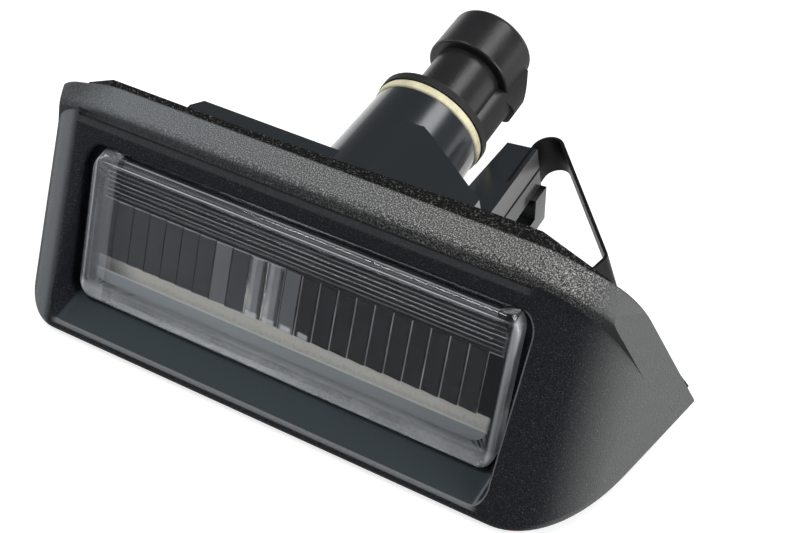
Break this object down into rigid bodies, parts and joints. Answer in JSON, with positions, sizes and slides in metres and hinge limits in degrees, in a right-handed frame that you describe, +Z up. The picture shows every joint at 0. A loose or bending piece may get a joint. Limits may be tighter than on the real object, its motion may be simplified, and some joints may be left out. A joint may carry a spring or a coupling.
{
  "type": "number plate lamp",
  "caption": "Wedge-shaped vehicle number plate lamp with recessed prismatic lens, foam gasket, twist-in bulb holder and a spring clip for a panel cut-out.",
  "frame": {"origin": "middle of the mounting face: the back of the foam gasket, half-way along the flange's length and half-way up its height", "axes": "+X along the lamp towards the spring clip, +Y back through the panel towards the plug, +Z up"},
  "size_m": [0.1394, 0.0859, 0.0336],
  "materials": {
    "housing": "fine grained charcoal black",
    "lens": "clear moulded plastic",
    "gasket": "black foam",
    "spring_clip": "dark spring steel",
    "bulb_holder": "satin black",
    "seal_ring": "cream rubber",
    "contact": "plain brass",
    "bulb_glass": "clear glass",
    "lead_wire": "bright wire",
    "filament": "fine coil"
  },
  "bodies": {
    "lamp": {"housing": "housing", "lens": "lens", "gasket": "gasket", "spring_clip": "spring_clip"},
    "holder": {"bulb_holder": "bulb_holder", "seal_ring": "seal_ring", "contact_left": "contact", "contact_right": "contact", "bulb_glass": "bulb_glass", "lead_wire_left": "lead_wire", "lead_wire_right": "lead_wire", "filament": "filament"}
  },
  "joints": [
    {"name": "holder_twist", "type": "hinge", "parent": "lamp", "child": "holder", "pos_m": [0.0024, 0.0234, -0.0022], "axis": [0, 1, 0], "range_deg": [0, 45]}
  ]
}
